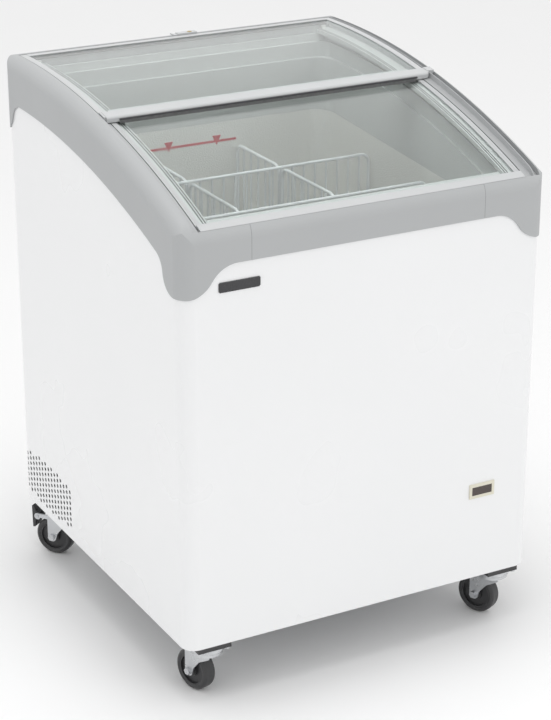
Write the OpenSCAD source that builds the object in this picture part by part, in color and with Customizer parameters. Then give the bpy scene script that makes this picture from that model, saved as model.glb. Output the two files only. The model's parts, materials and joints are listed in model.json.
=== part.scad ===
// Display chest freezer with a curved top, two sliding curved glass lids and four casters.
// Frame: +Z up, X to the right seen from the front, the front faces -Y.
// Origin: on the floor, under the middle of the cabinet.

/* [Overall size] */
// Width over the side frames
overall_w = 690; // [560:1:860]
// Depth from the front rail to the rear rail
overall_d = 710; // [590:1:860]
// Height of the crest of the curved top above the floor
overall_h = 969; // [880:1:1140]
// Radius of the curved top
top_r = 1723; // [1400:1:2100]
// Distance of the crest in front of the rear face
crest_back = 56; // [40:1:120]

/* [Top frame] */
// Width of the raised rim round the lids
rim_w = 26; // [20:0.5:30]
// Width of the rim behind the rear lid
rear_rim_w = 14; // [10:0.5:20]
// Width of the groove in the right rim
groove_w = 10.5; // [8:0.5:11]
// Depth of the groove
groove_h = 12; // [8:0.5:14]
// Depth of the upper recess, where the rear lid slides
recess_h = 10; // [9.5:0.5:12]
// Depth of the lower recess, where the front lid slides
lower_recess_h = 17; // [16.5:0.5:20]
// Width of the upper runway on each side
runway_w = 13; // [12:0.5:18]
// Height of the solid band of the frame
band_h = 46; // [40:1:60]
// Height of the visible side band down to its curved lower edge
side_band_h = 80; // [60:1:100]
// Rounding of the outer side edge
side_fillet = 22; // [8:1:26]
// Rounding of the front edge
front_fillet = 38; // [15:1:44]
// Rounding of the rear edge
rear_fillet = 8; // [3:1:12]
// Corner rounding of the frame in plan
frame_corner_r = 28; // [10:1:40]
// Overhang of the skirt outside the cabinet
skirt_gap = 0.3; // [0.2:0.05:1]
// Height of the front lobes below the front rail edge
lobe_drop = 50.5; // [30:0.5:70]
// Run of the curve from the front rail edge to a lobe
lobe_run = 92; // [70:1:110]
// Height of the front rail face
front_face_h = 62; // [48:1:80]
// Wall of the front rail in front of the lids
front_wall_t = 8; // [6:0.5:12]
// Distance of the frame joints from the middle at the front
seam_x = 219; // [150:1:240]

/* [Lids] */
// Glass thickness
glass_t = 4; // [3:0.5:4]
// Depth of the front bar of the rear lid
mid_bar_w = 25; // [18:1:40]
// Depth of the front bar of the front lid
nose_bar_w = 17; // [12:1:25]
// Depth of the rear bars of both lids
back_bar_w = 14; // [10:1:20]
// Share of the opening that the rear lid covers
mid_share = 0.518; // [0.46:0.002:0.56]
// Clearance of a lid at its sides
lid_side_gap = 2; // [1:0.5:3]

/* [Cabinet] */
// Gap between the floor and the cabinet
floor_gap = 105; // [95:1:120]
// Set-back of the steel cabinet behind the frame
shell_inset = 3; // [2.5:0.5:6]
// Thickness of the steel sheet
sheet_t = 1.2; // [0.8:0.1:2]
// Insulation thickness of the side walls
wall_t = 55; // [45:1:75]
// Insulation thickness under the tank floor
floor_t = 58; // [45:1:80]
// Thickness of the tank sheet
liner_t = 1; // [0.8:0.1:1.5]
// Corner radius of the tank
liner_corner_r = 40; // [20:1:60]
// Depth of the machine compartment from the rear face
machine_d = 245; // [225:1:270]
// Height of the machine compartment
machine_h = 195; // [188:1:230]

/* [Vent] */
// Diameter of a vent hole
vent_hole_d = 8; // [5:0.5:9]
// Column pitch of the vent holes
vent_pitch_y = 14.3; // [12:0.1:16]
// Row pitch of the vent holes
vent_pitch_z = 11; // [10:0.1:13]
// Number of columns
vent_cols = 15; // [9:2:15]
// Most holes in a column
vent_rows = 9; // [7:1:9]

/* [Dividers] */
// Height of the top wires above the floor
divider_top = 760; // [660:1:770]
// Place of the cross dividers, either side of the middle
cross_x = 94; // [70:1:120]
// Place of the rear long divider
long_rear_y = 122; // [100:1:160]
// Place of the front long divider
long_front_y = -80; // [-140:1:-60]
// Diameter of the rim wire
rim_wire_d = 6; // [4:0.5:6]
// Diameter of the upright wires
upright_wire_d = 4; // [2.4:0.2:4.4]
// Pitch of the upright wires
wire_pitch = 22; // [18:1:40]
// Clearance of the divider set to the tank walls
divider_gap = 4; // [2:0.5:8]

/* [Casters] */
// Wheel diameter
wheel_d = 75; // [60:1:75]
// Wheel width
wheel_w = 25; // [20:1:28]
// Trail of the axle behind the swivel
caster_trail = 28; // [22:1:32]
// Inset of the swivels from the sides
caster_inset_x = 55; // [50:1:80]
// Inset of the front swivels from the front
front_caster_inset = 35; // [33:1:60]
// Inset of the rear swivels from the rear
rear_caster_inset = 88; // [80:1:130]
// Size of the square mounting plate
caster_plate_w = 62; // [56:1:64]
// Thickness of the mounting plate
caster_plate_t = 9; // [5:0.5:10]

/* [Front details] */
// Width of the display bezel
bezel_w = 51; // [40:1:70]
// Height of the display bezel
bezel_h = 27; // [22:1:36]
// Distance of the display centre from the right side
bezel_inset = 109; // [60:1:160]
// Height of the display centre above the floor
bezel_z = 275.5; // [220:0.5:420]
// Width of the badge plate
badge_w = 74; // [50:1:90]
// Height of the badge plate
badge_h = 17; // [12:1:22]

/* [Hidden] */

half_w = overall_w / 2;
half_d = overall_d / 2;
arc_y = half_d - crest_back;
arc_z = overall_h - top_r;
fine = 720;
round_fn = 64;
eps = 0.05;

// Angles about the axis of the curved top, from the vertical towards the front
function sweep_angle(y, r) = asin((arc_y - y) / r);
function degrees_of(length) = length / top_r * 180 / PI;
function arc_point(r, a) = [arc_y - r * sin(a), arc_z + r * cos(a)];
function arc_height(y, r) = arc_z + sqrt(r * r - (y - arc_y) * (y - arc_y));

recess_r = top_r - recess_h;
lower_r = top_r - lower_recess_h;
band_r = top_r - band_h;
rear_open_y = half_d - rear_rim_w;
sill_rear_y = half_d - 37;
open_rear_a = sweep_angle(rear_open_y, recess_r);
lower_rear_a = sweep_angle(sill_rear_y, lower_r);
open_front_a = sweep_angle(front_wall_t - half_d, recess_r);
sill_front_a = open_front_a - degrees_of(24);
far_rear_a = sweep_angle(half_d + 15, top_r);
far_front_a = sweep_angle(-half_d - 25, top_r);
upper_hw = half_w - rim_w;
groove_x = upper_hw + 1.5;
lower_hw = upper_hw - runway_w;

// Cabinet and tank planes
shell_hw = half_w - shell_inset;
shell_hd = half_d - shell_inset;
shell_corner_r = frame_corner_r - shell_inset;
inner_hw = shell_hw - sheet_t;
inner_hd = shell_hd - sheet_t;
tank_hw = shell_hw - wall_t;
tank_hd = shell_hd - wall_t + 2;
tank_floor = floor_gap + floor_t;
machine_y = half_d - machine_d;
machine_top = floor_gap + machine_h;
step_y = machine_y - 50;
step_z = machine_top + 50;
collar_low_rear = overall_h - 161;
collar_low_front = overall_h - 214;
front_edge_z = arc_height(-half_d, top_r) - front_face_h;
lobe_z = front_edge_z - lobe_drop;
rear_lobe_z = overall_h - 134;

// Lid angles
mid_a = open_rear_a + mid_share * (open_front_a - open_rear_a);
lid_end_gap = degrees_of(2);
rear_lid_a = open_rear_a + lid_end_gap;
mid_bar_a = mid_a - degrees_of(mid_bar_w);
front_lid_a = mid_bar_a - lid_end_gap - degrees_of(back_bar_w);
front_lid_end_a = open_front_a - degrees_of(1.5);
rear_lid_hw = upper_hw - lid_side_gap;
front_lid_hw = lower_hw - lid_side_gap;
rear_glass_r = top_r - 2;
front_glass_r = top_r - 12;

// ---------- shared shapes ----------

// Extrudes an outline in Y and Z along X
module along_x(x1, x2) {
    translate([x1, 0, 0]) rotate([90, 0, 90]) linear_extrude(x2 - x1) children();
}

// Extrudes an outline in X and Z along Y
module along_y(y1, y2) {
    translate([0, y2, 0]) rotate([90, 0, 0]) linear_extrude(y2 - y1) children();
}

// Sweeps an outline in radius and X about the axis of the curved top
module sweep(a1, a2) {
    translate([0, arc_y, arc_z]) rotate([0, -90, 180]) rotate([0, 0, a1])
        rotate_extrude(angle = a2 - a1, $fn = fine) children();
}

module band(r1, r2, x1, x2) {
    translate([r1, x1]) square([r2 - r1, x2 - x1]);
}

module both_bands(r1, r2, x1, x2) {
    band(r1, r2, x1, x2);
    band(r1, r2, -x2, -x1);
}

// What lies outside a rounding of radius rho about c, between two directions. The circle is
// a hair larger, so that it meets the two faces at a definite edge
module corner_cut(c, rho, a1, a2) {
    reach = rho * 1.5;
    am = (a1 + a2) / 2;
    difference() {
        polygon([c, c + reach * [cos(a1), sin(a1)], c + 1.5 * reach * [cos(am), sin(am)],
            c + reach * [cos(a2), sin(a2)]]);
        translate(c) circle(rho + eps, $fn = round_fn);
    }
}

module rounded_rect(hx, hy, r) {
    square([2 * hx, 2 * (hy - r)], center = true);
    square([2 * (hx - r), 2 * hy], center = true);
    for (sx = [-1, 1], sy = [-1, 1])
        translate([sx * (hx - r), sy * (hy - r)]) circle(r, $fn = round_fn);
}

module prism(hx, hy, r, z1, z2) {
    translate([0, 0, z1]) linear_extrude(z2 - z1) rounded_rect(hx, hy, r);
}

// Everything under the curved top at radius r, in Y and Z
module under_arc(r) {
    intersection() {
        translate([arc_y, arc_z]) circle(r, $fn = fine);
        translate([-half_d - 5, 0]) square([overall_d + 10, overall_h + 20]);
    }
}

// ---------- top frame ----------

// Side outline of the frame with its rounded front and rear edges
module frame_profile() {
    front_c_y = front_fillet - half_d;
    front_c_a = sweep_angle(front_c_y, top_r - front_fillet);
    front_c = arc_point(top_r - front_fillet, front_c_a);
    rear_c_a = sweep_angle(half_d - rear_fillet, top_r - rear_fillet);
    rear_c = arc_point(top_r - rear_fillet, rear_c_a);
    difference() {
        intersection() {
            translate([arc_y, arc_z]) circle(top_r + 1, $fn = fine);
            translate([-half_d, lobe_z - 5]) square([overall_d, overall_h]);
        }
        corner_cut(front_c, front_fillet, 180, 90 + front_c_a);
        corner_cut(rear_c, rear_fillet, 0, 90 + rear_c_a);
    }
}

// A hanging lobe at one end of a side: side is -1 at the front and 1 at the rear
module side_lobe(y, z, rho, side) {
    edge_r = top_r - side_band_h;
    a = [y, z + rho];
    a_dist = norm(a - [arc_y, arc_z]);
    a_ang = atan2(arc_y - a[0], a[1] - arc_z);
    b_r = edge_r - rho;
    turn = acos((a_dist * a_dist + b_r * b_r - 4 * rho * rho) / (2 * a_dist * b_r));
    b_ang = a_ang + side * turn;
    b = arc_point(b_r, b_ang);
    end_y = side * (half_d + 5);
    difference() {
        union() {
            polygon([[y, z], (a + b) / 2, arc_point(edge_r, b_ang),
                arc_point(edge_r + 20, b_ang), [end_y, arc_height(end_y, edge_r + 10)],
                [end_y, z]]);
            translate(a) circle(rho, $fn = round_fn);
        }
        translate(b) circle(rho, $fn = round_fn);
    }
}

// What lies above the lower edge of the frame, seen from the side
module side_edge_region() {
    difference() {
        translate([-half_d - 5, lobe_z - 5]) square([overall_d + 10, overall_h]);
        translate([arc_y, arc_z]) circle(top_r - side_band_h, $fn = fine);
    }
    side_lobe(27 - half_d, lobe_z, 36, -1);
    side_lobe(half_d + 2, rear_lobe_z, 40, 1);
}

// What lies above the lower edge of the frame, seen from the front
module front_edge_region() {
    rho = (lobe_run * lobe_run + lobe_drop * lobe_drop) / (4 * lobe_drop);
    lobe_x = half_w - 10;
    translate([-half_w - 5, front_edge_z]) square([overall_w + 10, overall_h]);
    for (s = [-1, 1])
        difference() {
            union() {
                polygon([[s * lobe_x, lobe_z],
                    [s * (lobe_x - lobe_run / 2), front_edge_z - lobe_drop / 2],
                    [s * (lobe_x - lobe_run), front_edge_z],
                    [s * (half_w + 5), front_edge_z + 1], [s * (half_w + 5), lobe_z]]);
                intersection() {
                    translate([s * lobe_x, lobe_z + rho]) circle(rho, $fn = round_fn);
                    translate([s * half_w - rho, lobe_z]) square([2 * rho, lobe_drop + 1]);
                }
            }
            translate([s * (lobe_x - lobe_run), front_edge_z - rho]) circle(rho, $fn = round_fn);
        }
}

module skirt() {
    intersection() {
        difference() {
            translate([-half_w, -half_d, lobe_z - 2])
                cube([overall_w, overall_d, overall_h - lobe_z + 2]);
            prism(shell_hw + skirt_gap, shell_hd + skirt_gap, shell_corner_r + skirt_gap,
                lobe_z - 3, overall_h + 1);
        }
        along_x(-half_w - 1, half_w + 1) intersection() {
            under_arc(top_r - side_band_h / 2);
            side_edge_region();
        }
        along_y(-half_d - 1, half_d + 1) front_edge_region();
    }
}

// The curved bands of the frame, with the recesses for the lids and the groove
module frame_bands() {
    difference() {
        union() {
            sweep(far_rear_a, far_front_a) both_bands(band_r, top_r, lower_hw, half_w);
            sweep(sill_front_a, far_front_a) band(band_r, top_r, -half_w, half_w);
            sweep(far_rear_a, lower_rear_a) band(band_r, top_r, -half_w, half_w);
        }
        sweep(far_rear_a - 1, far_front_a + 1) for (s = [-1, 1])
            corner_cut([top_r - side_fillet, s * (half_w - side_fillet)], side_fillet,
                0, s * 90);
        sweep(open_rear_a, open_front_a) band(recess_r, top_r + 5, -upper_hw, upper_hw);
        sweep(lower_rear_a - degrees_of(skirt_gap), open_front_a)
            band(lower_r, top_r + 5, -lower_hw - skirt_gap, lower_hw + skirt_gap);
        sweep(open_rear_a, open_front_a)
            band(top_r - groove_h, top_r + 5, groove_x, groove_x + groove_w);
    }
}

// The whole top frame, which the four frame mouldings divide between them
module whole_frame() {
    difference() {
        intersection() {
            union() {
                frame_bands();
                skirt();
            }
            along_x(-half_w - 1, half_w + 1) frame_profile();
        }
        for (sx = [-1, 1], sy = [-1, 1])
            translate([0, 0, lobe_z - 10]) linear_extrude(overall_h)
                corner_cut([sx * (half_w - frame_corner_r), sy * (half_d - frame_corner_r)],
                    frame_corner_r, 90 - 90 * sx, 90 * sy + (sx < 0 && sy < 0 ? 360 : 0));
    }
}

module frame_part(x1, x2, y1, y2) {
    intersection() {
        whole_frame();
        translate([x1, y1, 0]) cube([x2 - x1, y2 - y1, overall_h + 20]);
    }
}

rear_seam_left = 232;
rear_seam_right = 187;
grey = [0.78, 0.79, 0.79];
light_grey = [0.86, 0.87, 0.87];
white = [0.95, 0.95, 0.95];
black = [0.08, 0.08, 0.08];
zinc = [0.72, 0.73, 0.74];

module side_frame_left() {
    color(grey) union() {
        frame_part(-half_w, -seam_x, -half_d, 0);
        frame_part(-half_w, -rear_seam_left, 0, half_d);
    }
}

module side_frame_right() {
    color(grey) union() {
        frame_part(seam_x, half_w, -half_d, 0);
        frame_part(rear_seam_right, half_w, 0, half_d);
    }
}

module front_rail() {
    color(grey) frame_part(-seam_x, seam_x, -half_d, 0);
}

module rear_rail() {
    color(grey) frame_part(-rear_seam_left, rear_seam_right, 0, half_d);
}

// Shelf that the front lid slides on, with a slot for the seals
track_t = 7;
track_lip = 28;
seal_w = 2;
seal_xs = [lower_hw - 24.5, lower_hw - 20];

module lid_track(s) {
    color(light_grey) sweep(lower_rear_a, sill_front_a) difference() {
        x1 = lower_hw - track_lip;
        x2 = lower_hw - 0.1;
        band(lower_r - track_t, lower_r, min(s * x1, s * x2), max(s * x1, s * x2));
        for (x = seal_xs)
            band(lower_r - 3, lower_r + 1, s * x - seal_w / 2, s * x + seal_w / 2);
    }
}

module lid_track_left() { lid_track(-1); }
module lid_track_right() { lid_track(1); }

// Two rubber lines under each side of the front lid, and one strip along the rear sill
module lid_seals() {
    color(black) {
        sweep(lower_rear_a, sill_front_a) for (s = [-1, 1], x = seal_xs)
            band(lower_r - 3, lower_r + 0.1, s * x - seal_w / 2 + eps, s * x + seal_w / 2 - eps);
        sweep(lower_rear_a - degrees_of(7), lower_rear_a + degrees_of(2.5))
            band(recess_r + 0.1, recess_r + 1.6, 6 - lower_hw, lower_hw - 6);
    }
}

module corner_clips() {
    clip_x = lower_hw - 18;
    color(white) sweep(lower_rear_a + degrees_of(1.7), lower_rear_a + degrees_of(7))
        both_bands(lower_r, lower_r + 6, clip_x, clip_x + 7);
}

// ---------- inner collar between the lids and the tank ----------

collar_t = 4;
collar_rear_y = tank_hd;
collar_out_hw = tank_hw + 12;
collar_out_rear = tank_hd + 17;
collar_out_front = arc_y - band_r * sin(sill_front_a);

module collar_low_line(drop) {
    polygon([[-half_d, collar_low_front - drop], [half_d, collar_low_rear - drop],
        [half_d, overall_h + 30], [-half_d, overall_h + 30]]);
}

// Free space inside the collar: it widens upwards in two shallow ledges
module collar_space() {
    prism(tank_hw, tank_hd, liner_corner_r, 400, overall_h + 30);
    collar_level(4, 22, top_r - 66);
    collar_level(8, 6, top_r - 38);
}

module collar_level(grow, corner, r) {
    intersection() {
        translate([0, grow / 2, 0])
            prism(tank_hw + grow, tank_hd + grow, corner, 400, overall_h + 30);
        along_x(-half_w, half_w) ring_region(r);
    }
}

// Region outside radius r, in Y and Z
module ring_region(r) {
    difference() {
        translate([-half_d - 20, 0]) square([overall_d + 40, overall_h + 60]);
        translate([arc_y, arc_z]) circle(r, $fn = fine);
    }
}

module collar_block(grow) {
    low = collar_low_front - 40;
    intersection() {
        translate([-collar_out_hw - grow, collar_out_front + 0.3 - grow, low])
            cube([2 * (collar_out_hw + grow), collar_out_rear - collar_out_front - 0.6 + 2 * grow,
                overall_h - low]);
        along_x(-half_w, half_w) intersection() {
            under_arc(lower_r - track_t - 0.1);
            collar_low_line(0);
        }
    }
}

module inner_collar() {
    color(light_grey) difference() {
        collar_block(0);
        collar_space();
    }
}

// ---------- cabinet ----------

vent_y0 = machine_y + 20;
vent_z0 = floor_gap + 18;

module vent_holes() {
    for (i = [0:vent_cols - 1]) {
        edge = min(i, vent_cols - 1 - i);
        rows = edge < 3 ? vent_rows - 2 + (edge == 1 ? 1 : edge == 2 ? 0 : 0) : vent_rows - i % 2;
        z0 = vent_z0 + (vent_rows - rows) * vent_pitch_z / 2;
        for (k = [0:rows - 1])
            translate([-half_w - 1, vent_y0 + i * vent_pitch_y, z0 + k * vent_pitch_z])
                rotate([0, 90, 0]) cylinder(d = vent_hole_d, h = 12, $fn = 24);
    }
}

module display_cutout(gap) {
    translate([half_w - bezel_inset, 10 - shell_hd, bezel_z])
        cube([bezel_w - 8 + 2 * gap, 50, bezel_h - 8 + 2 * gap], center = true);
}

module cabinet_wrap() {
    color(white) difference() {
        intersection() {
            difference() {
                prism(shell_hw, shell_hd, shell_corner_r, floor_gap, overall_h);
                prism(inner_hw, inner_hd, shell_corner_r - sheet_t, floor_gap - 1, overall_h + 1);
            }
            along_x(-half_w, half_w) under_arc(band_r - 0.5);
        }
        translate([-inner_hw + 22, half_d - 20, floor_gap - 1])
            cube([2 * inner_hw - 44, 40, overall_h]);
        vent_holes();
        display_cutout(0);
    }
}

rear_panel_low = machine_top + 2;

module rear_panel() {
    color(white) translate([-inner_hw + 22.3, inner_hd, rear_panel_low])
        cube([2 * inner_hw - 44.6, sheet_t, arc_height(half_d, band_r) - 2 - rear_panel_low]);
}

drain_x = -tank_hw + 60;
drain_y = -tank_hd + 55;
drain_r = 10;

module base_pan() {
    color("silver") difference() {
        prism(inner_hw - 0.3, inner_hd - 0.3, shell_corner_r - sheet_t, floor_gap, floor_gap + 2);
        translate([drain_x, drain_y, floor_gap - 1]) cylinder(r = drain_r, h = 4, $fn = round_fn);
    }
}

module compartment_wall() {
    color("silver") intersection() {
        along_x(0.3 - inner_hw, inner_hw - 0.3) {
            translate([machine_y, floor_gap + 2]) square([1.5, machine_h - 2]);
            translate([machine_y, machine_top]) square([inner_hd - machine_y - 0.3, 1.5]);
        }
        prism(inner_hw - 0.3, inner_hd - 0.3, shell_corner_r - sheet_t, floor_gap, overall_h);
    }
}

// Side outline of the tank, grown outwards by g; the floor steps up over the machines
module tank_profile(g) {
    polygon([[-tank_hd - g, tank_floor - g], [step_y + g, tank_floor - g],
        [step_y + g, step_z - g], [tank_hd + g, step_z - g], [tank_hd + g, overall_h],
        [-tank_hd - g, overall_h]]);
}

module tank_solid(g) {
    intersection() {
        along_x(-tank_hw - g, tank_hw + g) tank_profile(g);
        prism(tank_hw + g, tank_hd + g, liner_corner_r, tank_floor - 10, overall_h);
    }
}

module liner_tank() {
    color([0.80, 0.79, 0.76]) difference() {
        intersection() {
            tank_solid(liner_t);
            along_x(-half_w, half_w) difference() {
                translate([-half_d, 0]) square([overall_d, overall_h]);
                collar_low_line(0.2);
            }
        }
        tank_solid(0);
        translate([drain_x, drain_y, tank_floor - 5])
            cylinder(r = drain_r + eps, h = 10, $fn = round_fn);
    }
}

coil_d = 8;
coil_turns = 5;
coil_pitch = 62;
coil_z0 = step_z + 50;

module insulation_foam() {
    color([0.93, 0.88, 0.72]) difference() {
        intersection() {
            prism(inner_hw - 0.2, inner_hd - 0.2, shell_corner_r - sheet_t - 0.2,
                floor_gap + 2.1, overall_h);
            along_x(-half_w, half_w) under_arc(band_r - 0.6);
        }
        tank_solid(liner_t + 0.1);
        collar_block(0.1);
        translate([-half_w, machine_y - 0.1, floor_gap - 5])
            cube([overall_w, half_d, machine_h + 6.6]);
        for (i = [0:coil_turns - 1])
            prism(tank_hw + liner_t + coil_d + 0.6, tank_hd + liner_t + coil_d + 0.6,
                liner_corner_r + coil_d / 2 + 0.3, coil_z0 + i * coil_pitch - coil_d / 2 - 0.3,
                coil_z0 + i * coil_pitch + coil_d / 2 + 0.3);
        translate([drain_x, drain_y, floor_gap])
            cylinder(r = drain_r + 0.3, h = floor_t + 5, $fn = round_fn);
        display_cutout(0.3);
    }
}

// One rectangular loop of tube with rounded corners
module tube_loop(hx, hy, rc, d) {
    for (s = [-1, 1]) {
        translate([-hx + rc, s * hy, 0]) rotate([0, 90, 0])
            cylinder(d = d, h = 2 * (hx - rc), $fn = 24);
        translate([s * hx, hy - rc, 0]) rotate([90, 0, 0])
            cylinder(d = d, h = 2 * (hy - rc), $fn = 24);
    }
    for (i = [0:3])
        translate([(i == 0 || i == 3 ? 1 : -1) * (hx - rc), (i < 2 ? 1 : -1) * (hy - rc), 0])
            rotate([0, 0, i * 90]) rotate_extrude(angle = 90, $fn = round_fn)
                translate([rc, 0]) circle(d = d, $fn = 24);
}

module evaporator_coil() {
    color("darkorange") for (i = [0:coil_turns - 1])
        translate([0, 0, coil_z0 + i * coil_pitch])
            tube_loop(tank_hw + liner_t + 0.3 + coil_d / 2, tank_hd + liner_t + 0.3 + coil_d / 2,
                liner_corner_r, coil_d);
}

// Fill-limit mark on the rear wall of the tank
module load_line() {
    line_z = divider_top + 8;
    line_x = -87;
    color([0.8, 0.1, 0.12]) along_y(tank_hd - 0.6, tank_hd - 0.1) {
        translate([line_x, line_z - 2.2]) square([181, 4.4]);
        for (x = [line_x + 40, line_x + 140])
            polygon([[x - 9, line_z + 11], [x + 9, line_z + 11], [x, line_z - 7]]);
    }
}

// ---------- front details ----------

module display_bezel() {
    color([0.93, 0.92, 0.86]) difference() {
        union() {
            translate([half_w - bezel_inset, -shell_hd - 1.2, bezel_z])
                cube([bezel_w, 2.4, bezel_h], center = true);
            translate([half_w - bezel_inset, 9.8 - shell_hd, bezel_z])
                cube([bezel_w - 8.6, 22, bezel_h - 8.6], center = true);
        }
        translate([half_w - bezel_inset, -shell_hd - 2, bezel_z])
            cube([bezel_w - 10, 3, bezel_h - 11], center = true);
    }
}

module display_window() {
    color([0.12, 0.09, 0.06]) translate([half_w - bezel_inset, -shell_hd - 1.2, bezel_z])
        cube([bezel_w - 10.4, 1.2, bezel_h - 11.4], center = true);
}

badge_x = -half_w + 68;
badge_z = lobe_z + 4;

module badge_plate() {
    color(black) translate([badge_x, -shell_hd - 1.6, badge_z]) cube([badge_w, 1.5, badge_h]);
}

// ---------- machine compartment ----------

comp_x = 150;
comp_y = machine_y + 118;
comp_z = floor_gap + 17;
comp_r = 62;
pan_top = floor_gap + 2;

module compressor() {
    color([0.12, 0.12, 0.13]) {
        translate([comp_x, comp_y, comp_z + 5]) rotate_extrude($fn = round_fn) {
            square([comp_r - 14, 142]);
            translate([0, 14]) square([comp_r, 100]);
            translate([comp_r - 14, 14]) circle(14, $fn = round_fn);
            intersection() {
                translate([0, 142 - 99]) circle(99, $fn = round_fn);
                translate([0, 110]) square([comp_r, 40]);
            }
        }
        translate([comp_x - 85, comp_y - 55, comp_z]) difference() {
            cube([170, 110, 3]);
            for (x = [15, 155], y = [15, 95])
                translate([x, y, -1]) cylinder(r = 7, h = 5, $fn = round_fn);
        }
        translate([comp_x, comp_y, comp_z + 2]) cylinder(r = 44, h = 5, $fn = round_fn);
        translate([comp_x - comp_r - 22, comp_y - 24, comp_z + 38]) cube([24, 48, 56]);
    }
}

module compressor_feet() {
    color(black) for (x = [15, 155], y = [15, 95])
        translate([comp_x - 85 + x, comp_y - 55 + y, pan_top + 0.1]) {
            cylinder(r = 12, h = comp_z - pan_top - 0.2, $fn = round_fn);
            cylinder(r = 6.8, h = comp_z - pan_top + 3.5, $fn = round_fn);
            translate([0, 0, comp_z - pan_top + 3.2]) cylinder(r = 10, h = 3, $fn = round_fn);
        }
}

cond_x = -inner_hw + 14;
cond_w = 54;
cond_y = machine_y + 28;
cond_l = 176;
cond_z = pan_top + 4;
cond_h = 160;

// Finned block: upright fins on looped tubes, between two end plates
module condenser() {
    color([0.35, 0.35, 0.36]) {
        for (i = [0:21])
            translate([cond_x, cond_y + 4 + i * (cond_l - 9) / 21, cond_z + 4])
                cube([cond_w, 1, cond_h - 8]);
        for (y = [cond_y, cond_y + cond_l - 1.5])
            translate([cond_x, y, pan_top + 0.1]) cube([cond_w, 1.5, cond_h + 4]);
        for (x = [14, 40], k = [0:4])
            translate([cond_x + x, cond_y, cond_z + 18 + k * 31]) rotate([-90, 0, 0])
                cylinder(r = 4, h = cond_l, $fn = 24);
    }
}

fan_x = cond_x + cond_w + 12;
fan_y = cond_y + cond_l / 2;
fan_z = cond_z + cond_h / 2;
fan_r = 64;

module fan_bracket() {
    color("silver") {
        difference() {
            translate([fan_x, fan_y - 80, pan_top + 0.1]) cube([2, 160, cond_h + 3]);
            translate([fan_x - 1, fan_y, fan_z]) rotate([0, 90, 0])
                cylinder(r = fan_r + 4, h = 4, $fn = round_fn);
        }
        for (a = [30, 150, 270]) translate([fan_x + 38, fan_y, fan_z]) rotate([a, 0, 0])
            translate([0, -4, 24]) cube([2, 8, fan_r - 12]);
        for (a = [30, 150, 270]) translate([fan_x, fan_y, fan_z]) rotate([a, 0, 0])
            translate([0, -4, fan_r + 6]) cube([40, 8, 6]);
    }
}

module fan_motor() {
    color([0.2, 0.2, 0.22]) {
        translate([fan_x + 22, fan_y, fan_z]) rotate([0, 90, 0])
            cylinder(r = 26, h = 15.7, $fn = round_fn);
        translate([fan_x + 36, fan_y, fan_z]) rotate([0, 90, 0])
            cylinder(r = 22, h = 18, $fn = round_fn);
        translate([fan_x + 2, fan_y, fan_z]) rotate([0, 90, 0])
            cylinder(r = 3, h = 22, $fn = round_fn);
    }
}

module fan_blade() {
    color([0.75, 0.75, 0.72]) translate([fan_x + 3, fan_y, fan_z]) {
        difference() {
            union() {
                rotate([0, 90, 0]) cylinder(r = 14, h = 15, $fn = round_fn);
                intersection() {
                    rotate([0, 90, 0]) cylinder(r = fan_r - 3, h = 15, $fn = round_fn);
                    for (i = [0:4]) rotate([i * 72, 0, 0]) translate([7.5, 0, 34])
                        rotate([0, 0, 32]) cube([1.6, 44, 56], center = true);
                }
            }
            translate([-1, 0, 0]) rotate([0, 90, 0]) cylinder(r = 3 + eps, h = 20, $fn = round_fn);
        }
    }
}

// Tube through a list of points, with round elbows
module pipe(points, d) {
    for (i = [0:len(points) - 2]) {
        run = points[i + 1] - points[i];
        translate(points[i]) rotate([0, acos(run[2] / norm(run)), atan2(run[1], run[0])])
            cylinder(d = d, h = norm(run), $fn = 24);
    }
    for (i = [1:len(points) - 2]) translate(points[i]) sphere(d = d, $fn = 24);
}

// Discharge, suction and liquid lines with the filter drier
module refrigerant_lines() {
    tee_x = comp_x + 30;
    low_y = machine_y + 12;
    color([0.72, 0.42, 0.25]) {
        pipe([[comp_x + 30, comp_y - comp_r + 5.8, comp_z + 60], [tee_x, low_y, comp_z + 60],
            [tee_x, low_y, comp_z + 30], [cond_x + 40, low_y, comp_z + 30],
            [cond_x + 40, cond_y - 0.3, comp_z + 30]], 6);
        pipe([[comp_x - 20, comp_y - comp_r + 1.8, comp_z + 90], [comp_x - 20, low_y, comp_z + 90],
            [comp_x - 20, low_y, machine_top - 0.3]], 8);
        pipe([[cond_x + 14, cond_y - 0.3, comp_z + 125], [cond_x + 14, low_y, comp_z + 125],
            [cond_x + 110, low_y, comp_z + 125]], 5);
        translate([cond_x + 105, low_y, comp_z + 125]) rotate([0, 90, 0])
            cylinder(r = 10, h = 90, $fn = round_fn);
        pipe([[cond_x + 190, low_y, comp_z + 125], [comp_x - 40, low_y, comp_z + 125],
            [comp_x - 40, low_y, machine_top - 0.3]], 3);
    }
}

// ---------- rear of the machine compartment ----------

gland_x = inner_hw - 76;
gland_z = floor_gap + 40;
knob_x = inner_hw - 150;
knob_z = floor_gap + 140;
grille_y = inner_hd - 0.3;
gland_bore_r = 4.5;

module rear_grille() {
    x1 = -inner_hw + 22.3;
    color([0.80, 0.81, 0.82]) difference() {
        translate([x1, grille_y, floor_gap + 2]) cube([-2 * x1, 1.5, machine_h - 2]);
        for (i = [0:15], k = [0:1])
            translate([x1 + 60 + i * 16, grille_y - 1, floor_gap + 30 + k * 78])
                cube([6, 4, 62]);
        translate([knob_x, grille_y - 1, knob_z]) rotate([-90, 0, 0])
            cylinder(r = 17, h = 4, $fn = round_fn);
        translate([gland_x, grille_y - 1, gland_z]) rotate([-90, 0, 0])
            cylinder(r = 8.3, h = 4, $fn = round_fn);
        for (p = grille_screw_points())
            translate([p[0], grille_y - 1, p[1]]) rotate([-90, 0, 0])
                cylinder(r = 2.2, h = 4, $fn = 24);
    }
}

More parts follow.
